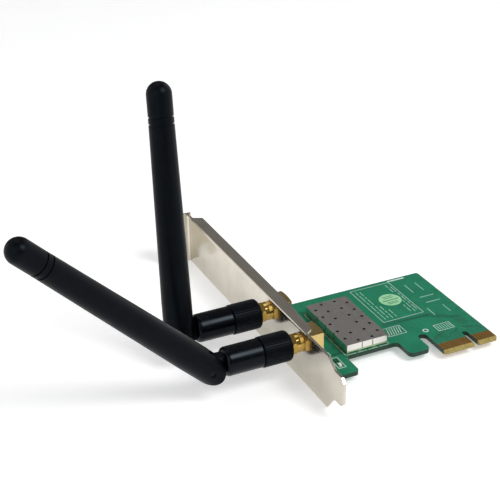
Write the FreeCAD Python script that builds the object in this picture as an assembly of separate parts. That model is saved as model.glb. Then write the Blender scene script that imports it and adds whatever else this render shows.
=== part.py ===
# Wireless network card for a one-lane expansion slot, with two hinged stick antennas.
# Frame: X runs along the card away from the bracket, Y up the card away from the slot, Z out of the
# component side. The origin is the middle of the key slot, at the contact edge, half way through the board.
import FreeCAD, Part
import os
from math import cos, pi, sin, sqrt, tan

V = FreeCAD.Vector
X_AXIS = V(1, 0, 0)
Y_AXIS = V(0, 1, 0)
Z_AXIS = V(0, 0, 1)

# Circuit board
board_thickness = 1.57
board_left = -57.7
board_right = 8.15
board_rear = 50.5
board_corner_r = 1.0
tongue_left = -12.15
tongue_corner = 1.2
key_width = 1.9
key_depth = 8.3
bevel_length = 1.3
bevel_depth = 0.45
notch_width = 3.15
notch_depth = 13.0
ear_width = 7.7
ear_front = 4.15
ear_corner_r = 1.7
recess_edge = 12.4
foot_right = -42.5
foot_front = 3.0
foot_corner_r = 1.4

# Contact pads on both faces of the tongue
pad_pitch = 1.0
pad_width = 0.7
pad_end = 5.25
pad_thickness = 0.06
pads_left_of_key = 11
pads_right_of_key = 7
pad_to_key = 1.5

# Radio shield: a soldered frame and a snap-on perforated cover
shield_left = -41.9
shield_front = 13.0
shield_width = 15.65
shield_length = 28.9
shield_height = 3.4
shield_sheet = 0.3
shield_corner_r = 0.5
skirt_height = 1.9
skirt_slit = 0.35
slit_notch = 0.4
slits_on_long_side = 3
slits_on_short_side = 2
frame_clearance = 0.05
frame_step_inset = 0.12
frame_lip = 0.4
frame_window_height = 0.55
frame_foot_width = 1.3
windows_on_long_side = 6
windows_on_short_side = 3
vent_d = 1.05
vent_end_margin = 1.62
vent_outer_column = 6.05
vent_inner_column = 2.55
vent_outer_rows = 5
vent_inner_rows = 6
blank_vent_row = 2

# Chips under the shield, each as width, length and height
radio_size = (9.0, 9.0, 0.9)
amplifier_size = (3.0, 3.0, 0.75)
memory_size = (3.0, 4.4, 1.0)
crystal_size = (3.2, 2.5, 0.7)
inductor_size = (4.0, 4.0, 1.8)
capacitor_size = (1.0, 0.5, 0.5)
resistor_size = (1.0, 0.5, 0.35)
chip_row_pitch = 1.6
chip_row_count = 6
# Their places: distance from the shield's left side, then from its front or its rear side
radio_from_front = (8.6, 15.1)
amplifier_from_front = (3.6, 5.9)
memory_from_front = (11.4, 5.9)
inductor_from_front = (7.4, 4.4)
resistors_from_front = (4.6, 9.75)
amplifier_from_rear = (3.6, 2.95)
crystal_from_rear = (11.4, 2.95)
capacitors_from_rear = (4.6, 5.6)
memory_lead_count = 4
memory_lead_pitch = 0.65
memory_lead_width = 0.24
memory_lead_reach = 0.95
memory_lead_thickness = 0.14
led_size = (0.9, 1.3, 0.6)
led_x = -46.75
led_y = 8.55

# Bracket, a folded sheet
sheet = 0.86
bracket_face = -58.9
bracket_top = 14.8
bracket_width = 18.42
bracket_rear = 104.4
bracket_length = 120.0
bend_r = 0.15
tab_bend_r = 1.0
flange_width = 4.1
flange_near_width = 3.0
flange_taper_from = 28.0
flange_near = 8.7
flange_far = 101.9
flange_end_slant = 2.0
flange_corner_r = 0.4
tab_reach = 11.43
tab_width = 19.05
tab_top_overhang = 1.15
tab_corner_r = 1.5
screw_notch_width = 4.42
screw_notch_depth = 5.2
screw_notch_from_bend = 5.9
tail_width = 10.2
tail_from_top = 2.8
tail_tip_chamfer = 1.4
shoulder_y = -5.6
shoulder_run = 4.4
shoulder_r = 0.5

# Antenna jacks
front_jack_y = 14.85
rear_jack_y = 37.28
jack_height = 8.4
jack_block_width = 8.0
jack_block_end = -51.4
jack_shoulder = 3.7
jack_crown = 0.45
jack_thread_d = 5.6
jack_bore_d = 4.1
jack_reach = 9.0
jack_hole_clearance = 0.2
jack_insulator_reach = 5.6
jack_contact_d = 1.27
jack_leg_d = 0.9
jack_leg_bore_d = 3.0
jack_contact_reach = 7.4
jack_post_d = 1.0
jack_post_pitch_x = 3.5
jack_post_pitch_y = 5.08
jack_post_below = 1.0
jack_post_from_end = 0.95
post_clearance = 0.05
washer_d = 6.4
washer_front_d = 6.0
washer_thickness = 1.35
washer_clearance = 0.08
panel_nut_flats = 6.4
panel_nut_thickness = 1.6
panel_nut_chamfer = 0.25
thread_clearance = 0.02

# Antenna: coupling nut, swivelling base, hinge and blade. Distances along the base start at the
# bracket's outer face, distances along the blade start at the hinge pin.
coupling_start = 3.15
coupling_length = 9.9
coupling_d = 10.05
coupling_edge_r = 1.1
knurl_count = 40
knurl_depth = 0.22
knurl_start = 1.0
coupling_nut_d = 8.0
coupling_nut_inset = 0.4
running_clearance = 0.05
collar_d = 5.4
collar_length = 1.4
collar_gap = 0.1
stem_d = 4.4
stem_length = 6.0
coupling_lip = 0.6
socket_d = 1.9
socket_inset = 1.6
coupling_wall_clearance = 0.3
base_gap = 0.1
barrel_d = 9.5
barrel_end = 26.0
barrel_edge_r = 0.4
barrel_shoulder_r = 1.6
hinge_at = 31.2
tongue_thickness = 3.5
tongue_height = 6.4
hinge_side_clearance = 0.12
hinge_pin_d = 1.6
hinge_pin_inset = 0.35
pin_recess_d = 2.1
blade_length = 81.4
blade_root_d = 9.75
blade_tip_d = 8.15
blade_wall = 1.2
fork_gap = 1.0
fork_back_clearance = 0.3
hollow_start = 10.5
tip_cap_length = 10.8
tip_ring_length = 2.2
groove_width = 0.6
groove_depth = 0.35
tip_spigot_length = 4.0
tip_spigot_clearance = 0.02
coax_d = 1.8
coax_clearance = 0.02
coax_end_gap = 6.0
radiator_d = 4.8
radiator_wall = 0.3
radiator_start = 18.0
radiator_length = 23.0
radiator_end = 0.6
front_swivel_deg = 3.6
front_tilt_deg = 45.0
rear_swivel_deg = -12.5
rear_tilt_deg = 92.8

# Places that follow from the sizes above
board_top = board_thickness / 2
board_bottom = -board_thickness / 2
bracket_inner = bracket_face + sheet
bracket_top_z = board_top + bracket_top
bracket_low_z = bracket_top_z - bracket_width
bracket_tail_y = bracket_rear - bracket_length
jack_z = board_top + jack_height
notch_left = tongue_left - notch_width
ear_left = notch_left - ear_width
shield_right = shield_left + shield_width
shield_rear = shield_front + shield_length
shield_mid_x = shield_left + shield_width / 2
shield_mid_y = shield_front + shield_length / 2
coupling_end = coupling_start + coupling_length
barrel_start = coupling_end + base_gap
slot_width = tongue_thickness + 2 * hinge_side_clearance
taper_end = blade_length - tip_cap_length
fork_depth = tongue_height / 2 + fork_gap
vent_pitch = (shield_length - 2 * vent_end_margin) / (vent_inner_rows - 1)
jack_ys = {"front": front_jack_y, "rear": rear_jack_y}
antenna_swivel_deg = {"front": front_swivel_deg, "rear": rear_swivel_deg}
antenna_tilt_deg = {"front": front_tilt_deg, "rear": rear_tilt_deg}


def box(x0, x1, y0, y1, z0, z1):
    """Box between two corners."""
    return Part.makeBox(x1 - x0, y1 - y0, z1 - z0, V(x0, y0, z0))


def rod(start, direction, diameter, length):
    """Round rod from a point along a direction."""
    return Part.makeCylinder(diameter / 2, length, start, direction)


def outline(corners):
    """Closed wire through (u, v, radius) corners, each rounded by its radius, in the XY plane."""
    count = len(corners)
    ends = []
    for i, (u, v, r) in enumerate(corners):
        here = V(u, v, 0)
        back = (V(*corners[i - 1][:2], 0) - here).normalize()
        ahead = (V(*corners[(i + 1) % count][:2], 0) - here).normalize()
        if r == 0:
            ends.append((here, None, here))
            continue
        half = back.getAngle(ahead) / 2
        bisector = (back + ahead).normalize()
        middle = here + bisector * (r / sin(half) - r)
        reach = r / tan(half)
        ends.append((here + back * reach, middle, here + ahead * reach))
    edges = []
    for i, (first, middle, last) in enumerate(ends):
        if middle is not None:
            edges.append(Part.Arc(first, middle, last).toShape())
        following = ends[(i + 1) % count][0]
        if last.distanceToPoint(following) > 1e-6:
            edges.append(Part.LineSegment(last, following).toShape())
    return Part.Wire(edges)


def plate(corners, thickness):
    """Flat plate with a rounded outline, rising from Z = 0."""
    return Part.Face(outline(corners)).extrude(V(0, 0, thickness))


def turned(profile):
    """Solid of revolution along -X from (distance, radius, corner radius) points, closed through the axis."""
    corners = [(-profile[0][0], 0, 0)]
    corners += [(-distance, radius, corner_r) for distance, radius, corner_r in profile]
    corners.append((-profile[-1][0], 0, 0))
    return Part.Face(outline(corners)).revolve(V(0, 0, 0), X_AXIS, 360)


def tube(start, end, outer_d, inner_d):
    """Round tube along -X between two distances."""
    shell = rod(V(-start, 0, 0), -X_AXIS, outer_d, end - start)
    return shell.cut(rod(V(-start, 0, 0), -X_AXIS, inner_d, end - start))


def hexagon(flats, thickness):
    """Six-sided prism along -X from X = 0, with an upright flat on each side."""
    radius = flats / sqrt(3)
    points = [V(0, radius * sin(i * pi / 3), radius * cos(i * pi / 3)) for i in range(7)]
    return Part.Face(Part.makePolygon(points)).extrude(V(-thickness, 0, 0))


def chip(x, y, size):
    """Chip body standing on the board, centred on x and y."""
    width, length, height = size
    return box(x - width / 2, x + width / 2, y - length / 2, y + length / 2, board_top, board_top + height)


def make_board():
    """Board with its slot tongue, key slot, bevelled contact edge, ear, recess and bracket foot."""
    half_key = key_width / 2
    corners = [
        (tongue_left, 0, tongue_corner),
        (-half_key, 0, 0),
        (-half_key, key_depth, half_key * 0.98),
        (half_key, key_depth, half_key * 0.98),
        (half_key, 0, 0),
        (board_right, 0, tongue_corner),
        (board_right, board_rear, board_corner_r),
        (board_left, board_rear, board_corner_r),
        (board_left, foot_front, foot_corner_r),
        (foot_right, foot_front, foot_corner_r),
        (foot_right, recess_edge, foot_corner_r),
        (ear_left, recess_edge, foot_corner_r),
        (ear_left, ear_front, ear_corner_r),
        (notch_left, ear_front, ear_corner_r),
        (notch_left, notch_depth, notch_width * 0.49),
        (tongue_left, notch_depth, notch_width * 0.49),
    ]
    board = plate(corners, board_thickness)
    board.translate(V(0, 0, board_bottom))
    for face, side in ((board_top, 1), (board_bottom, -1)):
        wedge = Part.makePolygon([
            V(tongue_left, 0, face),
            V(tongue_left, bevel_length, face),
            V(tongue_left, 0, face - side * bevel_depth),
            V(tongue_left, 0, face),
        ])
        board = board.cut(Part.Face(wedge).extrude(V(board_right - tongue_left, 0, 0)))
    for jack_y in jack_ys.values():
        for x, y in post_places(jack_y):
            hole_d = jack_post_d + 2 * post_clearance
            board = board.cut(rod(V(x, y, board_bottom), Z_AXIS, hole_d, board_thickness))
        leg_hole_d = jack_leg_d + 2 * post_clearance
        board = board.cut(rod(V(jack_leg_x(), jack_y, board_bottom), Z_AXIS, leg_hole_d, board_thickness))
    return board


def make_contacts():
    """Contact pads on both faces, in two groups beside the key slot."""
    left = [-pad_to_key - pad_pitch * i for i in range(pads_left_of_key)]
    right = [pad_to_key + pad_pitch * i for i in range(pads_right_of_key)]
    pads = []
    for x in left + right:
        x0, x1 = x - pad_width / 2, x + pad_width / 2
        for z in (board_top, board_bottom - pad_thickness):
            pads.append(box(x0, x1, bevel_length, pad_end, z, z + pad_thickness))
    return Part.makeCompound(pads)


def shield_block(inset, low, high):
    """Upright rounded block inside the shield's outline."""
    r = max(shield_corner_r - inset, 0.1)
    x0, x1 = shield_left + inset, shield_right - inset
    y0, y1 = shield_front + inset, shield_rear - inset
    block = plate([(x0, y0, r), (x1, y0, r), (x1, y1, r), (x0, y1, r)], high - low)
    block.translate(V(0, 0, board_top + low))
    return block


def make_shield_frame():
    """Fence on soldered feet, with a step below the cover's skirt and an inward lip on top."""
    inset = shield_sheet + frame_clearance
    top = shield_height - shield_sheet - frame_clearance
    foot = shield_height - shield_sheet - skirt_height
    fence = shield_block(inset, 0, top).cut(shield_block(inset + shield_sheet, 0, top - shield_sheet))
    window = shield_block(inset + shield_sheet + frame_lip, 0, top)
    step = shield_block(frame_step_inset, 0, foot).cut(shield_block(inset, 0, foot))
    frame = fence.cut(window).fuse(step).removeSplitter()
    return frame.cut(frame_windows())


def frame_windows():
    """Cutters for the low windows that leave the fence standing on soldered feet."""
    low = board_top
    high = board_top + frame_window_height
    cuts = []
    pitch = shield_length / windows_on_long_side
    for i in range(windows_on_long_side):
        y0 = shield_front + pitch * i + frame_foot_width / 2
        y1 = y0 + pitch - frame_foot_width
        cuts.append(box(shield_left, shield_right, y0, y1, low, high))
    pitch = shield_width / windows_on_short_side
    for i in range(windows_on_short_side):
        x0 = shield_left + pitch * i + frame_foot_width / 2
        x1 = x0 + pitch - frame_foot_width
        cuts.append(box(x0, x1, shield_front, shield_rear, low, high))
    return cuts


def vent_places():
    """Places of the cover's vents: staggered columns, with one place left blank for pick-up."""
    places = []
    for column, rows in ((vent_outer_column, vent_outer_rows), (vent_inner_column, vent_inner_rows)):
        for side in (-1, 1):
            for row in range(rows):
                blank = column == vent_inner_column and side < 0 and row == blank_vent_row
                if not blank:
                    y = shield_mid_y + vent_pitch * (row - (rows - 1) / 2)
                    places.append((shield_mid_x + side * column, y))
    return places


def make_shield_cover():
    """Perforated cover whose skirt is slit into spring fingers, up through the bend of the top."""
    skirt_low = shield_height - shield_sheet - skirt_height + frame_clearance
    cover = shield_block(0, skirt_low, shield_height)
    cover = cover.cut(shield_block(shield_sheet, skirt_low, shield_height - shield_sheet))
    cuts = []
    for x, y in vent_places():
        cuts.append(rod(V(x, y, board_top), Z_AXIS, vent_d, shield_height))
    slit_low = board_top + skirt_low
    slit_high = board_top + shield_height
    half = skirt_slit / 2
    for i in range(slits_on_long_side):
        y = shield_front + shield_length * (i + 1.5) / (slits_on_long_side + 2)
        cuts.append(box(shield_left, shield_left + slit_notch, y - half, y + half, slit_low, slit_high))
        cuts.append(box(shield_right - slit_notch, shield_right, y - half, y + half, slit_low, slit_high))
    for i in range(slits_on_short_side):
        x = shield_left + shield_width * (i + 1.5) / (slits_on_short_side + 2)
        cuts.append(box(x - half, x + half, shield_front, shield_front + slit_notch, slit_low, slit_high))
        cuts.append(box(x - half, x + half, shield_rear - slit_notch, shield_rear, slit_low, slit_high))
    return cover.cut(cuts)


def from_front(place):
    """Board position of a place given from the shield's left and front sides."""
    return shield_left + place[0], shield_front + place[1]


def from_rear(place):
    """Board position of a place given from the shield's left and rear sides."""
    return shield_left + place[0], shield_rear - place[1]


def make_memory():
    """Small leaded memory chip with bent leads along two sides."""
    x, y = from_front(memory_from_front)
    body = chip(x, y, memory_size)
    middle = board_top + memory_size[2] / 2
    t = memory_lead_thickness
    leads = []
    for side in (-1, 1):
        edge = y + side * memory_size[1] / 2
        outer = edge + side * memory_lead_reach
        y0, y1 = sorted((edge, outer))
        leg_y0, leg_y1 = sorted((outer, outer - side * t))
        for i in range(memory_lead_count):
            at = x + memory_lead_pitch * (i - (memory_lead_count - 1) / 2)
            x0, x1 = at - memory_lead_width / 2, at + memory_lead_width / 2
            leads.append(box(x0, x1, y0, y1, middle - t / 2, middle + t / 2))
            leads.append(box(x0, x1, leg_y0, leg_y1, board_top, middle + t / 2))
    return body.fuse(leads).removeSplitter()


def chip_row(x, y, size):
    """Row of equal chips along X."""
    return Part.makeCompound([chip(x + chip_row_pitch * i, y, size) for i in range(chip_row_count)])


def make_board_chips():
    """Chips under the shield and the indicator on the foot."""
    amplifiers = [
        chip(*from_front(amplifier_from_front), amplifier_size),
        chip(*from_rear(amplifier_from_rear), amplifier_size),
    ]
    return {
        "radio_chip": chip(*from_front(radio_from_front), radio_size),
        "amplifier_chips": Part.makeCompound(amplifiers),
        "memory_chip": make_memory(),
        "crystal": chip(*from_rear(crystal_from_rear), crystal_size),
        "power_inductor": chip(*from_front(inductor_from_front), inductor_size),
        "chip_capacitors": chip_row(*from_rear(capacitors_from_rear), capacitor_size),
        "chip_resistors": chip_row(*from_front(resistors_from_front), resistor_size),
        "indicator_led": chip(led_x, led_y, led_size),
    }


def make_bracket():
    """Folded bracket: face with shoulders and tail, inward side flange, outward screw tab."""
    tail_high = bracket_top_z - tail_from_top
    tail_low = tail_high - tail_width
    face_corners = [
        (bracket_rear, bracket_low_z, 0),
        (bracket_rear, bracket_top_z, 0),
        (shoulder_y, bracket_top_z, shoulder_r),
        (shoulder_y - shoulder_run, tail_high, shoulder_r),
        (bracket_tail_y + tail_tip_chamfer, tail_high, 0),
        (bracket_tail_y, tail_high - tail_tip_chamfer, 0),
        (bracket_tail_y, tail_low + tail_tip_chamfer, 0),
        (bracket_tail_y + tail_tip_chamfer, tail_low, 0),
        (shoulder_y - shoulder_run, tail_low, shoulder_r),
        (shoulder_y, bracket_low_z, shoulder_r),
    ]
    face = plate(face_corners, sheet)
    # The flat outline's U and V become the row's Y and Z, and its thickness runs along X.
    face.transformShape(FreeCAD.Matrix(0, 0, 1, bracket_face, 1, 0, 0, 0, 0, 1, 0, 0, 0, 0, 0, 1))
    for jack_y in jack_ys.values():
        hole_d = jack_thread_d + 2 * jack_hole_clearance
        face = face.cut(rod(V(bracket_face, jack_y, jack_z), X_AXIS, hole_d, sheet))
    bracket = face.fuse([make_flange(), make_tab()]).removeSplitter()
    outer_r = bend_r + sheet
    round_off = bent_edge_filler(outer_r)
    return bracket.cut(round_off)


def bent_edge_filler(outer_r):
    """Sharp corner outside the flange's bend, to be taken off its outer edge."""
    x1 = bracket_face + outer_r
    z0 = bracket_top_z - outer_r
    corner = box(bracket_face, x1, flange_near, flange_far, z0, bracket_top_z)
    return corner.cut(rod(V(x1, flange_near, z0), Y_AXIS, 2 * outer_r, flange_far - flange_near))


def make_flange():
    """Stiffening flange folded inwards along the bracket's component-side edge, with slanted ends."""
    reach = bracket_face + flange_width
    corners = [
        (bracket_face, flange_near, 0),
        (bracket_face + flange_near_width, flange_near + flange_end_slant, flange_corner_r),
        (reach, flange_taper_from, 0),
        (reach, flange_far - flange_end_slant, flange_corner_r),
        (bracket_face, flange_far, 0),
    ]
    flange = plate(corners, sheet)
    flange.translate(V(0, 0, bracket_top_z - sheet))
    x1 = bracket_inner + bend_r
    z1 = bracket_top_z - sheet
    fill = box(bracket_inner, x1, flange_near, flange_far, z1 - bend_r, z1)
    curve = rod(V(x1, flange_near, z1 - bend_r), Y_AXIS, 2 * bend_r, flange_far - flange_near)
    ends = plate(corners, bracket_width)
    ends.translate(V(0, 0, bracket_low_z))
    return flange.fuse(fill.cut(curve).common(ends))


def make_tab():
    """Screw tab folded outwards at the top of the bracket, with an open screw notch in one side."""
    high = bracket_top_z + tab_top_overhang
    low = high - tab_width
    outer = bracket_inner - tab_reach
    notch_mid = bracket_face - screw_notch_from_bend
    notch_r = screw_notch_width / 2
    corners = [
        (bracket_inner, low, 0),
        (bracket_inner, high, 0),
        (outer, high, tab_corner_r),
        (outer, low, tab_corner_r),
        (notch_mid - notch_r, low, 0),
        (notch_mid - notch_r, low + screw_notch_depth, notch_r * 0.98),
        (notch_mid + notch_r, low + screw_notch_depth, notch_r * 0.98),
        (notch_mid + notch_r, low, 0),
    ]
    tab = plate(corners, sheet)
    # The flat outline's V becomes the row's Z, and its thickness runs down from the bracket's end.
    tab.transformShape(FreeCAD.Matrix(1, 0, 0, 0, 0, 0, -1, bracket_rear, 0, 1, 0, 0, 0, 0, 0, 1))
    x0 = bracket_face - tab_bend_r
    y1 = bracket_rear - sheet
    fold = box(x0, bracket_face, y1 - tab_bend_r, y1, bracket_low_z, bracket_top_z)
    fold = fold.cut(rod(V(x0, y1 - tab_bend_r, bracket_low_z), Z_AXIS, 2 * tab_bend_r, bracket_width))
    return tab.fuse(fold)


def post_places(jack_y):
    """Places of a jack's solder posts on the board."""
    right = jack_block_end - jack_post_from_end
    xs = (right - jack_post_pitch_x, right)
    ys = (jack_y - jack_post_pitch_y / 2, jack_y + jack_post_pitch_y / 2)
    return [(x, y) for x in xs for y in ys]


def make_jack_body(jack_y):
    """Right-angle jack: crowned block standing on the board, threaded barrel and solder posts."""
    half = jack_block_width / 2
    left = V(bracket_inner, jack_y - half, jack_z + jack_shoulder)
    crown = V(bracket_inner, jack_y, jack_z + jack_shoulder + jack_crown)
    right = V(bracket_inner, jack_y + half, jack_z + jack_shoulder)
    foot_right_corner = V(bracket_inner, jack_y + half, board_top)
    foot_left_corner = V(bracket_inner, jack_y - half, board_top)
    section = Part.Wire([
        Part.Arc(left, crown, right).toShape(),
        Part.LineSegment(right, foot_right_corner).toShape(),
        Part.LineSegment(foot_right_corner, foot_left_corner).toShape(),
        Part.LineSegment(foot_left_corner, left).toShape(),
    ])
    block = Part.Face(section).extrude(V(jack_block_end - bracket_inner, 0, 0))
    axis_start = V(bracket_inner, jack_y, jack_z)
    barrel_length = sheet + jack_reach
    body = block.fuse(rod(axis_start, -X_AXIS, jack_thread_d, barrel_length))
    for x, y in post_places(jack_y):
        length = board_thickness + jack_post_below
        body = body.fuse(rod(V(x, y, board_top), -Z_AXIS, jack_post_d, length))
    bore_start = V(bracket_face - jack_reach, jack_y, jack_z)
    bore_length = jack_bore_back() - bore_start.x
    body = body.cut(rod(bore_start, X_AXIS, jack_bore_d, bore_length))
    leg_bore = rod(V(jack_leg_x(), jack_y, board_top), Z_AXIS, jack_leg_bore_d, jack_height)
    return body.cut(leg_bore).removeSplitter()


def jack_leg_x():
    """Place of the centre contact's leg, in the middle of the jack's block."""
    return (jack_block_end + bracket_inner) / 2


def jack_bore_back():
    """Closed end of the jack's bore."""
    return jack_leg_x() + jack_leg_bore_d / 2


def make_jack_insulator(jack_y):
    """Insulating bush in the jack's bore, round the centre contact and its leg."""
    back = V(jack_bore_back(), jack_y, jack_z)
    bush = rod(back, -X_AXIS, jack_bore_d, back.x - bracket_face + jack_insulator_reach)
    leg = rod(V(jack_leg_x(), jack_y, board_top), Z_AXIS, jack_leg_bore_d, jack_height)
    return bush.fuse(leg).removeSplitter().cut(make_jack_contact(jack_y))


def make_jack_contact(jack_y):
    """Centre contact of the jack, with a leg down through the board."""
    elbow = V(jack_leg_x(), jack_y, jack_z)
    pin = rod(elbow, -X_AXIS, jack_contact_d, elbow.x - bracket_face + jack_contact_reach)
    leg = rod(elbow, -Z_AXIS, jack_leg_d, jack_height + board_thickness + jack_post_below)
    return pin.fuse(leg).removeSplitter()


def make_lock_washer():
    """Conical spring washer against the bracket."""
    cone = turned([
        (0, washer_d / 2, 0),
        (washer_thickness, washer_front_d / 2, 0),
    ])
    return cone.cut(rod(V(0, 0, 0), -X_AXIS, jack_thread_d + 2 * washer_clearance, washer_thickness))


def make_panel_nut():
    """Thin hexagon nut, chamfered on both faces."""
    nut = hexagon(panel_nut_flats, panel_nut_thickness)
    crest = panel_nut_flats / sqrt(3)
    end = panel_nut_thickness
    cone = turned([
        (0, crest - 2 * panel_nut_chamfer, 0),
        (panel_nut_chamfer, crest, 0),
        (end - panel_nut_chamfer, crest, 0),
        (end, crest - 2 * panel_nut_chamfer, 0),
    ])
    nut = nut.common(cone)
    nut = nut.cut(rod(V(0, 0, 0), -X_AXIS, jack_thread_d + 2 * thread_clearance, end))
    nut.translate(V(-washer_thickness, 0, 0))
    return nut


def make_coupling_shell():
    """Knurled shell of the coupling nut, rounded at the jack end, with straight ridges."""
    r = coupling_d / 2
    start = coupling_start
    shell = turned([
        (start, r, coupling_edge_r),
        (coupling_end, r, knurl_depth),
    ])
    shell = shell.cut(rod(V(-start, 0, 0), -X_AXIS, coupling_nut_d, coupling_nut_end() - start))
    wall_bore = stem_d + 2 * coupling_wall_clearance
    shell = shell.cut(rod(V(-start, 0, 0), -X_AXIS, wall_bore, coupling_length))
    half_gap = pi * r / knurl_count * 0.5
    groove_face = Part.Face(Part.makePolygon([
        V(0, -half_gap, r * 1.01),
        V(0, 0, r - knurl_depth),
        V(0, half_gap, r * 1.01),
        V(0, -half_gap, r * 1.01),
    ]))
    groove = groove_face.extrude(V(-coupling_length, 0, 0))
    groove.translate(V(-start - knurl_start, 0, 0))
    grooves = []
    for i in range(knurl_count):
        copy = groove.copy()
        copy.rotate(V(0, 0, 0), X_AXIS, 360 * i / knurl_count)
        grooves.append(copy)
    return shell.cut(grooves)


def coupling_nut_end():
    """Distance of the coupling nut's back face."""
    return collar_back() + collar_gap + coupling_lip


def make_coupling_nut():
    """Brass nut inside the shell: threaded bore, then a lip that holds the plug's collar."""
    start = coupling_start + coupling_nut_inset
    lip = collar_back() + collar_gap
    end = coupling_nut_end()
    bore = jack_thread_d + 2 * running_clearance
    nut = rod(V(-start, 0, 0), -X_AXIS, coupling_nut_d, end - start)
    nut = nut.cut(rod(V(-start, 0, 0), -X_AXIS, bore, lip - start))
    return nut.cut(rod(V(-lip, 0, 0), -X_AXIS, stem_d + 2 * running_clearance, coupling_lip))


def collar_front():
    """Distance of the plug collar's face, just clear of the jack's end."""
    return jack_reach + collar_gap


def collar_back():
    """Distance of the plug collar's back face."""
    return collar_front() + collar_length


def make_plug_core():
    """Turned plug body: collar against the jack, and a stem into the base barrel."""
    end = barrel_start + stem_length
    body = turned([
        (collar_front(), collar_d / 2, 0),
        (collar_back(), collar_d / 2, 0),
        (collar_back(), stem_d / 2, 0),
        (end, stem_d / 2, 0),
    ])
    return body.cut(rod(V(-collar_front(), 0, 0), -X_AXIS, socket_d, end - collar_front()))


def make_plug_socket():
    """Insulated socket in the plug body."""
    start = collar_front() + socket_inset
    end = barrel_start + stem_length
    return rod(V(-start, 0, 0), -X_AXIS, socket_d, end - start)


def make_base_barrel():
    """Round base that swivels on the plug, ending in the hinge tongue."""
    r = barrel_d / 2
    start = barrel_start
    barrel = turned([
        (start, r, barrel_edge_r),
        (barrel_end, r, barrel_shoulder_r),
    ])
    half = tongue_thickness / 2
    top = tongue_height / 2
    tongue = box(-hinge_at, -barrel_end, -half, half, -top, top)
    knuckle = rod(V(-hinge_at, -half, 0), Y_AXIS, tongue_height, tongue_thickness)
    base = barrel.fuse([tongue, knuckle])
    base = base.cut(rod(V(-start, 0, 0), -X_AXIS, stem_d, stem_length))
    hole_d = hinge_pin_d + 2 * running_clearance
    base = base.cut(rod(V(-hinge_at, -half, 0), Y_AXIS, hole_d, tongue_thickness))
    return base.removeSplitter()


def blade_radius(distance):
    """Radius of the tapered blade at a distance from the hinge pin."""
    share = max(0.0, min(1.0, (distance - hollow_start) / (taper_end - hollow_start)))
    return (blade_root_d + (blade_tip_d - blade_root_d) * share) / 2


def make_blade_sleeve():
    """Tapered hollow blade whose rounded root forks round the tongue and is closed behind it."""
    root_r = blade_root_d / 2
    ring = taper_end - tip_ring_length
    g = groove_depth
    body = turned([
        (-root_r, root_r, 0),
        (hollow_start, root_r, 0),
        (ring - groove_width, blade_radius(ring - groove_width), 0),
        (ring - groove_width, blade_radius(ring) - g, 0),
        (ring, blade_radius(ring) - g, 0),
        (ring, blade_radius(ring), 0),
        (taper_end - groove_width, blade_radius(taper_end), 0),
        (taper_end - groove_width, blade_radius(taper_end) - g, 0),
        (taper_end, blade_radius(taper_end) - g, 0),
    ])
    side = root_r * 1.1
    round_end = rod(V(0, -side, 0), Y_AXIS, blade_root_d, 2 * side)
    keep = round_end.fuse(box(-blade_length, 0, -side, side, -side, side))
    body = body.common(keep)
    slot_low = -tongue_height / 2 - fork_back_clearance
    body = body.cut(box(-fork_depth, side, -slot_width / 2, slot_width / 2, slot_low, side))
    body = body.cut(rod(V(0, -side, 0), Y_AXIS, hinge_pin_d, 2 * side))
    for y in (-root_r, root_r - hinge_pin_inset):
        body = body.cut(rod(V(0, y, 0), Y_AXIS, pin_recess_d, hinge_pin_inset))
    hollow = turned([
        (hollow_start, blade_radius(hollow_start) - blade_wall, 0),
        (taper_end, blade_radius(taper_end) - blade_wall, 0),
    ])
    body = body.cut(hollow)
    cable_bore_d = coax_d + 2 * coax_clearance
    return body.cut(rod(V(-fork_depth, 0, 0), -X_AXIS, cable_bore_d, hollow_start - fork_depth))


def make_hinge_pin():
    """Pin pressed through both sides of the fork."""
    length = blade_root_d - 2 * hinge_pin_inset
    return rod(V(0, -length / 2, 0), Y_AXIS, hinge_pin_d, length)


def make_tip_cap():
    """Domed cap with a spigot in the blade's open end."""
    r = blade_tip_d / 2
    spigot_r = r - blade_wall - tip_spigot_clearance
    return turned([
        (taper_end - tip_spigot_length, spigot_r, 0),
        (taper_end, spigot_r, 0),
        (taper_end, r, 0),
        (blade_length, r, r),
    ])


def make_coax():
    """Feed cable along the blade's middle."""
    end = taper_end - coax_end_gap
    return rod(V(-fork_depth, 0, 0), -X_AXIS, coax_d, end - fork_depth)


def make_radiator():
    """Thin sleeve radiator, open towards the hinge and closed on the feed cable at its far end."""
    end = radiator_start + radiator_length
    sleeve = tube(radiator_start, end, radiator_d, radiator_d - 2 * radiator_wall)
    closed_end = tube(end - radiator_end, end, radiator_d, coax_d)
    return sleeve.fuse(closed_end).removeSplitter()


def place_base(shape, name):
    """Put a piece of the base on its jack, turned by the antenna's swivel."""
    shape.rotate(V(0, 0, 0), X_AXIS, antenna_swivel_deg[name])
    shape.translate(V(bracket_face, jack_ys[name], jack_z))
    return shape


def place_blade(shape, name):
    """Put a piece of the blade on the hinge, turned by the antenna's tilt and swivel."""
    shape.rotate(V(0, 0, 0), Y_AXIS, antenna_tilt_deg[name])
    shape.translate(V(-hinge_at, 0, 0))
    return place_base(shape, name)


def make_jack_set(name):
    """One jack with its insulator, contact, washer and nut."""
    y = jack_ys[name]
    at_jack = V(bracket_face, y, jack_z)
    return {
        name + "_jack_body": make_jack_body(y),
        name + "_jack_insulator": make_jack_insulator(y),
        name + "_jack_contact": make_jack_contact(y),
        name + "_lock_washer": make_lock_washer().translated(at_jack),
        name + "_panel_nut": make_panel_nut().translated(at_jack),
    }


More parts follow.
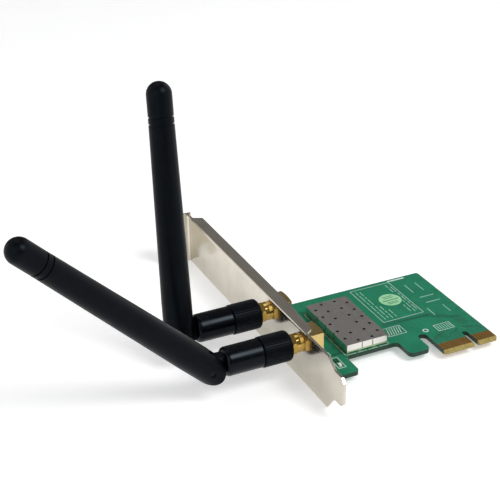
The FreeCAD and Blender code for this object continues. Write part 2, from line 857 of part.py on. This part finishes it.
def make_antenna(name):
    """One antenna: coupling, base, hinge pin and blade with what it holds."""
    base = {
        "_coupling_shell": make_coupling_shell(),
        "_coupling_nut": make_coupling_nut(),
        "_plug_core": make_plug_core(),
        "_plug_socket": make_plug_socket(),
        "_base_barrel": make_base_barrel(),
    }
    blade = {
        "_hinge_pin": make_hinge_pin(),
        "_blade_sleeve": make_blade_sleeve(),
        "_tip_cap": make_tip_cap(),
        "_feed_cable": make_coax(),
        "_radiator": make_radiator(),
    }
    nodes = {name + key: place_base(shape, name) for key, shape in base.items()}
    nodes.update({name + key: place_blade(shape, name) for key, shape in blade.items()})
    return nodes


def main():
    """Build every piece and write it out."""
    nodes = {
        "circuit_board": make_board(),
        "edge_contacts": make_contacts(),
        "shield_frame": make_shield_frame(),
        "shield_cover": make_shield_cover(),
        "bracket": make_bracket(),
    }
    nodes.update(make_board_chips())
    for name in jack_ys:
        nodes.update(make_jack_set(name))
        nodes.update(make_antenna(name))
    os.makedirs("parts", exist_ok=True)
    for name, shape in nodes.items():
        shape.exportStep(os.path.join("parts", name + ".step"))
        solids = len(shape.Solids)
        print(f"{name}: {solids} solid(s), {shape.Volume:.2f} mm3, valid {shape.isValid()}")


main()
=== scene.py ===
from math import cos, pi, sin

import bmesh
import bpy
from mathutils import Matrix, Vector


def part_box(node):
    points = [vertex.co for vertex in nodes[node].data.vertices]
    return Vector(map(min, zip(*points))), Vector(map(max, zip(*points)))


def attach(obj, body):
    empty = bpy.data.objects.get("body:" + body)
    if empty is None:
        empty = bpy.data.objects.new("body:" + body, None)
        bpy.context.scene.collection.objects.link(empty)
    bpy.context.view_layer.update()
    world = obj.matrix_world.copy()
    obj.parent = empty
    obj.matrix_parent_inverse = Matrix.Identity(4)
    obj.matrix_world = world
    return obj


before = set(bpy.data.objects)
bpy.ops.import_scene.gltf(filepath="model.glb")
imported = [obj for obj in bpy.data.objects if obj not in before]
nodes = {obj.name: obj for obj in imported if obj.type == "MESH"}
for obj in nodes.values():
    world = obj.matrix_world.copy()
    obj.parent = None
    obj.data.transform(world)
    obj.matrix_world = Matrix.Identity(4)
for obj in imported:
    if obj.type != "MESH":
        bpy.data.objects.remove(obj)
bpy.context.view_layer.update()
scene = bpy.context.scene
scene.view_settings.view_transform = "Standard"

MM = 0.001
SIDES = ("front", "rear")


def box_mm(node):
    """Lowest and highest corner of a CAD node at rest, in millimetres."""
    low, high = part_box(node)
    return low / MM, high / MM


board_low, board_high = box_mm("circuit_board")
contacts_low, contacts_high = box_mm("edge_contacts")
shield_low, shield_high = box_mm("shield_cover")
led_low, led_high = box_mm("indicator_led")
jack_boxes = [box_mm(side + "_jack_body") for side in SIDES]
BOARD_TOP = board_high.z
BOARD_BOTTOM = board_low.z
MASK_START = contacts_high.y + 0.15
JACK_YS = [(low.y + high.y) / 2 for low, high in jack_boxes]
JACK_END = jack_boxes[0][1].x


def tone(r, g, b):
    """Linear colour from 0-255 display values."""
    channels = []
    for value in (r, g, b):
        c = value / 255
        channels.append(c / 12.92 if c <= 0.04045 else ((c + 0.055) / 1.055) ** 2.4)
    return (*channels, 1.0)


class Finish:
    """A procedural material whose colour, roughness and bump vary with noise in object space."""

    # Most of a noise's values lie between these two
    NOISE_LOW = 0.3
    NOISE_HIGH = 0.7

    def __init__(self, name, roughness, metallic=0.0):
        self.material = bpy.data.materials.new(name)
        self.material.use_nodes = True
        self.tree = self.material.node_tree
        self.shader = self.tree.nodes["Principled BSDF"]
        self.shader.inputs["Metallic"].default_value = metallic
        self.shader.inputs["Roughness"].default_value = roughness
        self.place = self.tree.nodes.new("ShaderNodeTexCoord").outputs["Object"]
        self.normal = None

    def node(self, kind, **settings):
        """New node with the given properties."""
        made = self.tree.nodes.new(kind)
        for key, value in settings.items():
            setattr(made, key, value)
        return made

    def link(self, source, target):
        """Join two sockets."""
        self.tree.links.new(source, target)

    def noise(self, scale, detail=3.0, stretch=(1, 1, 1)):
        """Noise in object space, stretched along the axes."""
        mapping = self.node("ShaderNodeMapping")
        mapping.inputs["Scale"].default_value = stretch
        self.link(self.place, mapping.inputs["Vector"])
        texture = self.node("ShaderNodeTexNoise")
        texture.inputs["Scale"].default_value = scale
        texture.inputs["Detail"].default_value = detail
        self.link(mapping.outputs["Vector"], texture.inputs["Vector"])
        return texture.outputs["Fac"]

    def blend(self, factor, low, high):
        """Colour that follows a noise between two colours."""
        ramp = self.node("ShaderNodeValToRGB")
        ramp.color_ramp.elements[0].position = self.NOISE_LOW
        ramp.color_ramp.elements[0].color = low
        ramp.color_ramp.elements[1].position = self.NOISE_HIGH
        ramp.color_ramp.elements[1].color = high
        self.link(factor, ramp.inputs["Fac"])
        return ramp.outputs["Color"]

    def mix(self, factor, first, second):
        """Mix of two colours, each a socket or a plain colour."""
        mixer = self.node("ShaderNodeMix", data_type="RGBA")
        self.link(factor, mixer.inputs["Factor"])
        for value, name in ((first, "A"), (second, "B")):
            socket = [s for s in mixer.inputs if s.name == name and s.type == "RGBA"][0]
            if isinstance(value, tuple):
                socket.default_value = value
            else:
                self.link(value, socket)
        return [s for s in mixer.outputs if s.type == "RGBA"][0]

    def math(self, operation, first, second=0.0):
        """Scalar node, whose inputs are sockets or numbers."""
        made = self.node("ShaderNodeMath", operation=operation)
        for i, value in enumerate((first, second)):
            if isinstance(value, (int, float)):
                made.inputs[i].default_value = value
            else:
                self.link(value, made.inputs[i])
        return made.outputs["Value"]

    def axis(self, name):
        """One coordinate of the object-space place, in metres."""
        split = self.node("ShaderNodeSeparateXYZ")
        self.link(self.place, split.inputs["Vector"])
        return split.outputs[name]

    def colour(self, socket):
        """Base colour from a socket."""
        self.link(socket, self.shader.inputs["Base Color"])

    def rough(self, factor, low, high):
        """Roughness that follows a noise between two values."""
        span = self.node("ShaderNodeMapRange")
        span.inputs["From Min"].default_value = self.NOISE_LOW
        span.inputs["From Max"].default_value = self.NOISE_HIGH
        span.inputs["To Min"].default_value = low
        span.inputs["To Max"].default_value = high
        self.link(factor, span.inputs["Value"])
        self.link(span.outputs["Result"], self.shader.inputs["Roughness"])

    def edge(self, radius_mm):
        """Softened edges in the shading."""
        bevel = self.node("ShaderNodeBevel", samples=8)
        bevel.inputs["Radius"].default_value = radius_mm * MM
        self.normal = bevel.outputs["Normal"]
        self.link(self.normal, self.shader.inputs["Normal"])

    def bump(self, height, strength, distance_mm):
        """Surface relief from a height socket."""
        made = self.node("ShaderNodeBump")
        made.inputs["Strength"].default_value = strength
        made.inputs["Distance"].default_value = distance_mm * MM
        self.link(height, made.inputs["Height"])
        if self.normal is not None:
            self.link(self.normal, made.inputs["Normal"])
        self.normal = made.outputs["Normal"]
        self.link(self.normal, self.shader.inputs["Normal"])


def moulded(name, low, high, roughness, grain=0.02, shine=0.5):
    """Satin moulded plastic with a spark-eroded grain, in millimetres, and faint handling marks."""
    f = Finish(name, roughness)
    f.shader.inputs["Specular IOR Level"].default_value = shine
    cloud = f.noise(scale=260, detail=4)
    handling = f.noise(scale=120, detail=4)
    sparks = f.noise(scale=5200, detail=2)
    f.colour(f.blend(cloud, low, high))
    f.rough(handling, roughness - 0.05, roughness + 0.06)
    f.edge(radius_mm=0.12)
    f.bump(sparks, strength=0.25, distance_mm=grain)
    return f


def plated(name, low, high, roughness, stretch=(1, 1, 1), scale=900, edge=0.1, grain=0.004):
    """Plated metal, brushed along the axis with the smallest stretch, with edge and grain in millimetres."""
    f = Finish(name, roughness, metallic=1.0)
    cloud = f.noise(scale=90, detail=4)
    brush = f.noise(scale, 4, stretch)
    f.colour(f.blend(cloud, low, high))
    f.rough(brush, roughness - 0.03, roughness + 0.04)
    if edge:
        f.edge(edge)
    f.bump(brush, strength=0.1, distance_mm=grain)
    return f


def board_finish():
    """Green solder mask, with the bare board round the contacts, on the bevel and on the cut sides; the cut
    sides are darkened with painted shade.
    """
    f = Finish("solder_mask", 0.38)
    mask = f.blend(f.noise(140, 5), tone(18, 122, 88), tone(30, 138, 102))
    grain = f.noise(700, 2, (1.0, 0.06, 1.0))
    mask = f.mix(f.math("MULTIPLY", grain, 0.28), mask, tone(8, 92, 66))
    # Colour of the cut sides: the board's own colour, darkened with painted shade
    laminate_with_painted_shade = f.blend(f.noise(2500, 3, (1, 1, 6)), tone(15, 48, 34), tone(28, 64, 46))
    bare = f.blend(f.noise(900, 3), tone(92, 74, 34), tone(120, 96, 46))
    edge = f.blend(f.noise(1500, 3, (1, 0.2, 1)), tone(150, 132, 70), tone(178, 160, 94))
    tongue_from = (contacts_low.x - 0.45) * MM
    bare_to = MASK_START * MM
    bevel_to = 1.32 * MM
    along = f.axis("Y")
    across = f.axis("X")
    tongue = f.math("GREATER_THAN", across, tongue_from)
    contact = f.math("MULTIPLY", f.math("LESS_THAN", along, bare_to), tongue)
    bevel = f.math("MULTIPLY", f.math("LESS_THAN", along, bevel_to), tongue)
    geometry = f.node("ShaderNodeNewGeometry")
    split = f.node("ShaderNodeSeparateXYZ")
    f.link(geometry.outputs["True Normal"], split.inputs["Vector"])
    side = f.math("LESS_THAN", f.math("ABSOLUTE", split.outputs["Z"]), 0.5)
    colour = f.mix(contact, mask, bare)
    colour = f.mix(side, colour, laminate_with_painted_shade)
    colour = f.mix(bevel, colour, edge)
    f.colour(colour)
    f.rough(f.noise(200, 3), 0.32, 0.46)
    f.shader.inputs["Specular IOR Level"].default_value = 0.3
    f.shader.inputs["Coat Weight"].default_value = 0.06
    f.bump(grain, strength=0.15, distance_mm=0.01)
    return f


# Finishes of the CAD nodes
black = (tone(1, 2, 5), tone(4, 5, 9))
blade_black = moulded("blade_plastic", *black, 0.37, grain=0.002, shine=0.1)
barrel_black = moulded("barrel_plastic", *black, 0.25, grain=0.002, shine=0.15)
for finish in (blade_black, barrel_black):
    finish.shader.inputs["Specular Tint"].default_value = (0.7, 0.86, 1.0, 1)
chip_black = moulded("chip_epoxy", tone(24, 24, 25), tone(34, 34, 35), 0.6)
ferrite = moulded("ferrite", tone(52, 52, 54), tone(70, 70, 72), 0.75)
ceramic = moulded("capacitor_ceramic", tone(158, 128, 92), tone(184, 152, 112), 0.55)
resistor = moulded("resistor_glaze", tone(28, 28, 32), tone(44, 44, 48), 0.35)
white_plastic = moulded("insulator_plastic", tone(226, 224, 214), tone(240, 238, 230), 0.5)
lens = moulded("led_lens", tone(222, 232, 220), tone(240, 246, 236), 0.25)
cable = moulded("cable_jacket", tone(40, 40, 42), tone(54, 54, 56), 0.5)
board = board_finish()
steel = plated("bracket_nickel", tone(202, 196, 182), tone(216, 210, 197), 0.17,
               stretch=(1, 0.03, 1), scale=1500, grain=0.001)
tin = plated("shield_tin", tone(214, 210, 205), tone(226, 222, 217), 0.16,
             stretch=(1, 0.12, 1), scale=1700, edge=0, grain=0.0002)
# Tin of the shield frame, coloured darker and greener than the cover: painted shade below the cover's skirt
# and a painted reflection of the green board
frame_tin_painted_reflection = plated("frame_tin_painted_reflection", tone(140, 164, 130), tone(160, 182, 150), 0.2,
                   stretch=(1, 1, 0.2), scale=1700, edge=0, grain=0.0002)
brass = plated("jack_gold", tone(194, 168, 104), tone(210, 187, 126), 0.18,
               stretch=(0.2, 1, 1), scale=1200, edge=0.08, grain=0.001)
nut_gold = plated("nut_gold", tone(196, 160, 84), tone(216, 184, 108), 0.12,
                  stretch=(0.2, 1, 1), scale=1200, edge=0.05, grain=0.0006)
gold = plated("contact_gold", tone(168, 124, 62), tone(192, 148, 80), 0.32,
              stretch=(1, 0.05, 1), scale=2400, edge=0.03)
# Hinge pin steel, coloured near black: painted shade of the pin's hole in the blade
pin_steel_painted_shade = plated("pin_steel_painted_shade", tone(26, 27, 30), tone(40, 41, 45), 0.4, scale=1800, edge=0.05)
crystal_case = plated("crystal_case", tone(196, 194, 188), tone(214, 212, 206), 0.3)

looks = {
    "circuit_board": board,
    "edge_contacts": gold,
    "shield_frame": frame_tin_painted_reflection,
    "shield_cover": tin,
    "bracket": steel,
    "radio_chip": chip_black,
    "amplifier_chips": chip_black,
    "memory_chip": chip_black,
    "crystal": crystal_case,
    "power_inductor": ferrite,
    "chip_capacitors": ceramic,
    "chip_resistors": resistor,
    "indicator_led": lens,
}
antenna_looks = {
    "jack_body": brass,
    "jack_insulator": white_plastic,
    "jack_contact": gold,
    "lock_washer": nut_gold,
    "panel_nut": nut_gold,
    "coupling_nut": brass,
    "plug_core": brass,
    "plug_socket": gold,
    "coupling_shell": blade_black,
    "base_barrel": barrel_black,
    "blade_sleeve": blade_black,
    "tip_cap": blade_black,
    "hinge_pin": pin_steel_painted_shade,
    "feed_cable": cable,
    "radiator": gold,
}
for side in SIDES:
    for name, finish in antenna_looks.items():
        looks[f"{side}_{name}"] = finish
for name, finish in looks.items():
    materials = nodes[name].data.materials
    materials.clear()
    materials.append(finish.material)


def line(points, width, closed=False):
    """Right and left sides of a printed line through points in board millimetres, mitred at its corners."""
    points = [Vector(p) for p in points]
    ways = [(b - a).normalized() for a, b in zip(points, points[1:] + points[:1])]
    sides = []
    for i, point in enumerate(points):
        into = ways[i - 1] if closed or i > 0 else ways[i]
        away = ways[i] if closed or i < len(points) - 1 else into
        across = Vector((-into.y - away.y, into.x + away.x))
        across *= width / across.length_squared
        sides.append((point - across, point + across))
    return sides, closed


def bar(x0, y0, x1, y1, width):
    """Straight printed stroke that runs half its width past both ends."""
    past = Vector((x1 - x0, y1 - y0)).normalized() * width / 2
    return line([(x0 - past.x, y0 - past.y), (x1 + past.x, y1 + past.y)], width)


def rectangle(x0, y0, x1, y1, width):
    """Printed frame."""
    return line([(x0, y0), (x1, y0), (x1, y1), (x0, y1)], width, True)


def ring(x, y, radius, width, count=32):
    """Printed ring in short flat segments."""
    turns = [2 * pi * i / count for i in range(count)]
    return line([(x + radius * cos(t), y + radius * sin(t)) for t in turns], width, True)


def card_piece(name, work, finish):
    """Piece on the card's body, made from a bmesh in metres."""
    bmesh.ops.recalc_face_normals(work, faces=work.faces)
    mesh = bpy.data.meshes.new(name)
    work.to_mesh(mesh)
    work.free()
    mesh.materials.append(finish.material)
    piece = bpy.data.objects.new(name, mesh)
    scene.collection.objects.link(piece)
    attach(piece, "card")
    return piece


def flat_piece(name, lines, low, thickness, finish):
    """Thin closed strips on the card."""
    work = bmesh.new()
    for sides, closed in lines:
        rows = []
        for right, left in sides:
            corners = ((right, low), (left, low), (left, low + thickness), (right, low + thickness))
            rows.append([work.verts.new((p.x * MM, p.y * MM, z * MM)) for p, z in corners])
        for a, b in zip(rows, rows[1:] + rows[:1] if closed else rows[1:]):
            for i in range(4):
                work.faces.new((a[i - 1], a[i], b[i], b[i - 1]))
        if not closed:
            work.faces.new(rows[0])
            work.faces.new(rows[-1])
    card_piece(name, work, finish)


def turned_piece(name, centres, profile, finish, count=24):
    """Small turned forms, upright on the card, from (radius, height) points in millimetres."""
    work = bmesh.new()
    turns = [2 * pi * i / count for i in range(count)]
    for x, y in centres:
        rings = []
        for radius, height in profile:
            circle = [(x + radius * cos(t), y + radius * sin(t)) for t in turns]
            rings.append([work.verts.new((u * MM, v * MM, height * MM)) for u, v in circle])
        for lower, upper in zip(rings, rings[1:]):
            for i in range(count):
                j = (i + 1) % count
                work.faces.new((lower[i], lower[j], upper[j], upper[i]))
        work.faces.new(rings[0][::-1])
        work.faces.new(rings[-1])
    piece = card_piece(name, work, finish)
    for polygon in piece.data.polygons:
        polygon.use_smooth = len(polygon.vertices) == 4


# Finishes of print, tracks, paper and solder
print_grain = 0.006
ink = moulded("legend_ink", tone(196, 226, 210), tone(224, 244, 232), 0.6, print_grain)
faint_ink = moulded("faint_ink", tone(146, 203, 178), tone(172, 220, 200), 0.6, print_grain)
track = moulded("mask_over_track", tone(10, 84, 62), tone(16, 94, 70), 0.36, print_grain)
paper = moulded("sticker_paper", tone(151, 217, 164), tone(170, 231, 182), 0.55, 0.008)
paper_print = moulded("sticker_print", tone(46, 92, 52), tone(58, 108, 62), 0.6, print_grain)
dark_land = moulded("dark_land", tone(8, 34, 28), tone(14, 44, 36), 0.3, print_grain)
solder = plated("solder", tone(176, 176, 174), tone(206, 206, 202), 0.32, edge=0.05)
# Dull pale green for the lands round the shield: grey solder with a painted reflection of the white wall and
# the green board
land_solder_painted_reflection = moulded("land_solder_painted_reflection", tone(146, 176, 158), tone(174, 202, 182), 0.42, print_grain)

# Printed frames and strokes on the component side, as x0, y0, x1, y1
ink_thickness = 0.025
label_frame = (-20.6, 25.3, -4.9, 48.8)
comb_frame = (-23.8, 16.4, -17.0, 21.5)
header_frame = (-6.9, 12.2, -0.9, 16.0)
led_frame = (-47.9, 6.9, -45.3, 13.2)
rear_stroke = (-4.6, 49.35, 1.4, 49.35)
comb_strokes = [-23.2 + 0.9 * i for i in range(6)]
comb_start = 17.0
comb_end = 20.9
comb_slant = 1.1
legend = [rectangle(*label_frame, width=0.19)]
legend += [rectangle(*comb_frame, width=0.2)]
legend += [bar(x, comb_start, x + comb_slant, comb_end, width=0.22) for x in comb_strokes]
legend += [ring(x=-10.85, y=14.5, radius=0.85, width=0.4)]
legend += [rectangle(*header_frame, width=0.24)]
legend += [rectangle(*led_frame, width=0.24)]
legend += [bar(*rear_stroke, width=0.8)]
flat_piece("board_legend", legend, BOARD_TOP, ink_thickness, ink)

# Fainter dashes in rows: the x of each row, then where each dash starts and ends
dash_rows = {
    -19.0: ((27.0, 30.2), (31.0, 32.4), (33.2, 37.0), (38.0, 39.4), (40.4, 44.6), (45.6, 47.4)),
    -17.6: ((27.4, 28.8), (29.8, 33.6), (34.4, 36.0), (37.2, 41.2), (42.0, 43.2), (44.2, 47.0)),
    -16.2: ((26.8, 29.6), (30.6, 31.8), (32.8, 35.2)),
    -14.6: ((27.0, 28.2), (29.2, 32.0)),
    -8.4: ((28.0, 30.4), (31.4, 32.6)),
    -7.0: ((27.2, 29.0), (30.0, 33.2), (34.2, 35.4), (42.0, 44.6), (45.6, 47.4)),
    -5.8: ((28.2, 31.6), (32.6, 34.0), (35.2, 38.4), (39.4, 40.6), (41.8, 45.6)),
    -2.4: ((22.0, 26.6),),
    3.8: ((22.0, 26.6),),
    -0.8: ((38.6, 44.2),),
    3.4: ((38.6, 44.2),),
}
faint_thickness = 0.02
header_strokes = (-6.0, -5.1, -4.2, -3.3, -2.4, -1.6)
header_start = 12.9
header_end = 15.3
foot_stroke = (-46.6, 15.0, -46.6, 17.0)
dashes = []
for x, runs in dash_rows.items():
    dashes += [bar(x, start, x, end, width=0.32) for start, end in runs]
dashes += [bar(x, header_start, x, header_end, width=0.3) for x in header_strokes]
dashes += [bar(*foot_stroke, width=0.4)]
dashes += [bar(-0.4, y, 4.8, y, width=0.4) for y in (30.4, 34.4)]
flat_piece("faint_legend", dashes, BOARD_TOP, faint_thickness, faint_ink)

# Tracks from each contact pad on both faces, which jog towards the middle of the tongue
track_thickness = 0.012
pad_pitch = 1.0
pad_half_width = 0.35
pad_track = 0.22
first_turn = 8.2
turn_step = 0.45
top_jog = 1.6
under_jog = 1.2
under_end = 22.0
under_step = 0.9
left_pads = [contacts_low.x + pad_half_width + pad_pitch * i for i in range(11)]
right_pads = [contacts_high.x - pad_half_width - pad_pitch * i for i in range(7)]
tracks = []
under = []
for lean, row in ((1, left_pads), (-1, right_pads)):
    for i, x in enumerate(row):
        turn = first_turn + turn_step * (i % 6)
        start = [(x, MASK_START), (x, turn)]
        tracks.append(line(start + [(x + top_jog * lean, turn + top_jog)], pad_track))
        column = x + under_jog * lean
        under_rest = [(column, turn + under_jog), (column, under_end + under_step * i)]
        under.append(line(start + under_rest, pad_track))

# A bundle across the component side, and towards the shield three short tracks and one from each jack
for i in range(5):
    x = 2.0 + 0.7 * i
    route = [(x, 12.6), (x, 17.5), (x - 8.0, 22.5 + 0.2 * i), (-22.0, 22.9 + 0.5 * i)]
    tracks.append(line(route, width=0.2))
for i in range(3):
    y = 17.6 + 0.8 * i
    tracks.append(line([(-49.6, y), (-43.4, y)], width=0.25))
for y in JACK_YS:
    tracks.append(line([(-51.0, y), (-42.4, y)], width=1.1))
flat_piece("board_tracks", tracks, BOARD_TOP, track_thickness, track)
flat_piece("underside_tracks", under, BOARD_BOTTOM - track_thickness, track_thickness, track)

# Via rings in four rows
via_thickness = 0.015
via_places = [(-25.0 + 1.7 * i, 45.2) for i in range(3)]
via_places += [(-44.0, 24 + 3.2 * i) for i in range(6)]
via_places += [(-14.0 + 2.1 * i, 18.4 + 1.1 * (i % 2)) for i in range(3)]
via_places += [(6.6, 13 + 4.6 * i) for i in range(8)]
via_rings = [ring(x, y, radius=0.26, width=0.2, count=12) for x, y in via_places]
flat_piece("via_rings", via_rings, BOARD_TOP, via_thickness, track)

# Round sticker inside the label frame, with plain bars: half length, distance from the middle, width
sticker_x = -10.8
sticker_y = 37.6
sticker_r = 4.0
sticker_low = BOARD_TOP + 0.026
sticker_top = BOARD_TOP + 0.11
sticker_rim = [(sticker_r, sticker_low), (sticker_r, sticker_top - 0.02), (sticker_r - 0.04, sticker_top)]
turned_piece("round_sticker", [(sticker_x, sticker_y)], sticker_rim, paper, count=64)
sticker_bars = ((2.9, -0.2, 0.4), (1.8, 1.3, 0.3), (1.8, 2.3, 0.3), (1.8, -1.6, 0.3), (1.8, -2.5, 0.3))
marks = []
for half, offset, width in sticker_bars:
    y = sticker_y + offset
    marks.append(bar(sticker_x - half, y, sticker_x + half, y, width))
mark_thickness = 0.012
flat_piece("sticker_marks", marks, sticker_top, mark_thickness, paper_print)

# Solder joints under the jacks' posts and contacts, with a (radius, depth) profile
post_from_end = 0.95
post_pitch_x = 3.5
post_pitch_y = 5.08
contact_from_end = 3.32
joint_profile = ((0.95, 0), (0.9, 0.06), (0.72, 0.3), (0.58, 0.7), (0.52, 0.95), (0.3, 1.05))
near_post = JACK_END - post_from_end
joints = []
for y in JACK_YS:
    for x in (near_post - post_pitch_x, near_post):
        joints += [(x, y - post_pitch_y / 2), (x, y + post_pitch_y / 2)]
joints += [(JACK_END - contact_from_end, y) for y in JACK_YS]
joint_sides = [(radius, BOARD_BOTTOM - depth) for radius, depth in joint_profile]
turned_piece("solder_joints", joints, joint_sides, solder)

# Solder lands at the indicator's ends
land_thickness = 0.04
led_x = (led_low.x + led_high.x) / 2
led_y = (led_low.y + led_high.y) / 2
led_land_offset = 0.7
half_led_land = 0.3
led_lands = []
for y in (led_y - led_land_offset, led_y + led_land_offset):
    led_lands.append(line([(led_x, y - half_led_land), (led_x, y + half_led_land)], width=1.1))
flat_piece("led_lands", led_lands, BOARD_TOP, land_thickness, solder)

# Solder lands round the shield, whose colour holds a painted reflection of the wall and the board
land_offset = 0.26
land_width = 0.46
short_side_lands = 4
long_side_lands = 7
half_short_land = 1.75
half_long_land = 1.85
land_left = shield_low.x - land_offset
land_right = shield_high.x + land_offset
land_front = shield_low.y - land_offset
land_rear = shield_high.y + land_offset
shield_lands = []
for i in range(short_side_lands):
    x = land_left + (land_right - land_left) * (i + 0.5) / short_side_lands
    for y in (land_front, land_rear):
        shield_lands.append(line([(x - half_short_land, y), (x + half_short_land, y)], land_width))
for i in range(long_side_lands):
    y = land_front + (land_rear - land_front) * (i + 0.5) / long_side_lands
    for x in (land_left, land_right):
        shield_lands.append(line([(x, y - half_long_land), (x, y + half_long_land)], land_width))
flat_piece("shield_lands", shield_lands, BOARD_TOP, land_thickness, land_solder_painted_reflection)

# Two dark spare lands beside the indicator
spare_thickness = 0.02
spare_start = 10.2
spare_end = 12.5
spare_lands = [line([(x, spare_start), (x, spare_end)], width=0.6) for x in (-47.1, -46.2)]
flat_piece("spare_lands", spare_lands, BOARD_TOP, spare_thickness, dark_land)


def stage_plane(name, size, place, facing, material):
    """Flat square of the studio, not part of the object."""
    mesh = bpy.data.meshes.new(name)
    h = size / 2
    mesh.from_pydata([(-h, -h, 0), (h, -h, 0), (h, h, 0), (-h, h, 0)], [], [(0, 1, 2, 3)])
    mesh.materials.append(material)
    plane = bpy.data.objects.new(name, mesh)
    plane.location = place
    plane.rotation_euler = Vector(facing).to_track_quat("Z", "Y").to_euler()
    scene.collection.objects.link(plane)
    return plane


def stage_material(name, colour):
    """Dull material of the studio."""
    material = bpy.data.materials.new(name)
    material.use_nodes = True
    shader = material.node_tree.nodes["Principled BSDF"]
    shader.inputs["Base Color"].default_value = (*colour, 1)
    shader.inputs["Roughness"].default_value = 0.9
    return material, shader


def seen_directly(tree):
    """Factor that is 1 for the rays that show the background: camera, glossy and transmission rays."""
    rays = tree.nodes.new("ShaderNodeLightPath")
    factor = rays.outputs["Is Camera Ray"]
    for name in ("Is Glossy Ray", "Is Transmission Ray"):
        either = tree.nodes.new("ShaderNodeMath")
        either.operation = "MAXIMUM"
        tree.links.new(factor, either.inputs[0])
        tree.links.new(rays.outputs[name], either.inputs[1])
        factor = either.outputs[0]
    return factor


def show_directly(tree, usual, shown, output):
    """Give an output one shader in the rays that show the background and another in the rest."""
    pick = tree.nodes.new("ShaderNodeMixShader")
    tree.links.new(seen_directly(tree), pick.inputs["Fac"])
    tree.links.new(usual.outputs[0], pick.inputs[1])
    tree.links.new(shown.outputs[0], pick.inputs[2])
    tree.links.new(pick.outputs[0], tree.nodes[output].inputs["Surface"])


# A white backdrop round the scene, which lights the object only softly
world = bpy.data.worlds.new("studio")
scene.world = world
world.use_nodes = True
ambient = world.node_tree.nodes["Background"]
ambient.inputs["Color"].default_value = (0.95, 0.97, 1.0, 1)
ambient.inputs["Strength"].default_value = 0.6
backdrop = world.node_tree.nodes.new("ShaderNodeBackground")
backdrop.inputs["Color"].default_value = (1, 1, 1, 1)
backdrop.inputs["Strength"].default_value = 1.0
show_directly(world.node_tree, ambient, backdrop, "World Output")

# A pale floor just under the bracket, lifted towards white where it is seen
floor_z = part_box("bracket")[0].z - 0.1 * MM
floor_material, floor_shader = stage_material("studio_floor", (0.93, 0.93, 0.93))
floor_tree = floor_material.node_tree
glow = floor_tree.nodes.new("ShaderNodeEmission")
glow.inputs["Strength"].default_value = 0.36
lift = floor_tree.nodes.new("ShaderNodeAddShader")
floor_tree.links.new(floor_shader.outputs[0], lift.inputs[0])
floor_tree.links.new(glow.outputs[0], lift.inputs[1])
show_directly(floor_tree, floor_shader, lift, "Material Output")
floor_place = (-0.04, 0.04, floor_z)
stage_plane("studio_floor", size=6.0, place=floor_place, facing=(0, 0, 1), material=floor_material)

# Grey boards that the camera doesn't see and the metal reflects: size, place and facing
flag_material, _ = stage_material("studio_flag", (0.34, 0.33, 0.325))
flags = {
    "back_flag": (2.0, (0.1, 1.3, 0.85), (-0.1, -0.9, -0.3)),
    "front_flag": (3.0, (-0.3, -1.8, 1.65), (0.1, 0.9, -0.2)),
    "top_flag": (3.0, (0.0, 0.0, 2.0), (0, 0, -1)),
}
for name, (size, place, facing) in flags.items():
    stage_plane(name, size, place, facing, flag_material).visible_camera = False

# Lamps, all aimed at one point above the card
lamp_target = Vector((-0.05, 0.03, 0.01))


def lamp(name, place, size, power):
    """Square soft light aimed at the card."""
    data = bpy.data.lights.new(name, "AREA")
    data.size = size
    data.energy = power
    light = bpy.data.objects.new(name, data)
    light.location = place
    aim = lamp_target - Vector(place)
    light.rotation_euler = aim.to_track_quat("-Z", "Y").to_euler()
    scene.collection.objects.link(light)


lamp("key", (0.34, -0.63, 0.94), size=0.45, power=7.6)
lamp("fill", (-0.65, -0.55, 0.6), size=0.8, power=1.7)
lamp("top", (-0.1, 0.5, 1.1), size=0.7, power=1.5)

# Camera at the photograph's viewing angle: its place and its right, upward and backward directions
camera_data = bpy.data.cameras.new("camera")
camera_data.sensor_width = 36.0
camera_data.lens = 90.18
camera_data.clip_start = 0.01
camera = bpy.data.objects.new("camera", camera_data)
right = Vector((0.90519, -0.4246, -0.0183))
up = Vector((0.20989, 0.40918, 0.88799))
back = Vector((-0.36955, -0.80764, 0.4595))
eye = Vector((-0.2131, -0.2878, 0.2174 + BOARD_TOP * MM))
camera.matrix_world = Matrix.Translation(eye) @ Matrix((right, up, back)).transposed().to_4x4()
scene.collection.objects.link(camera)
scene.camera = camera
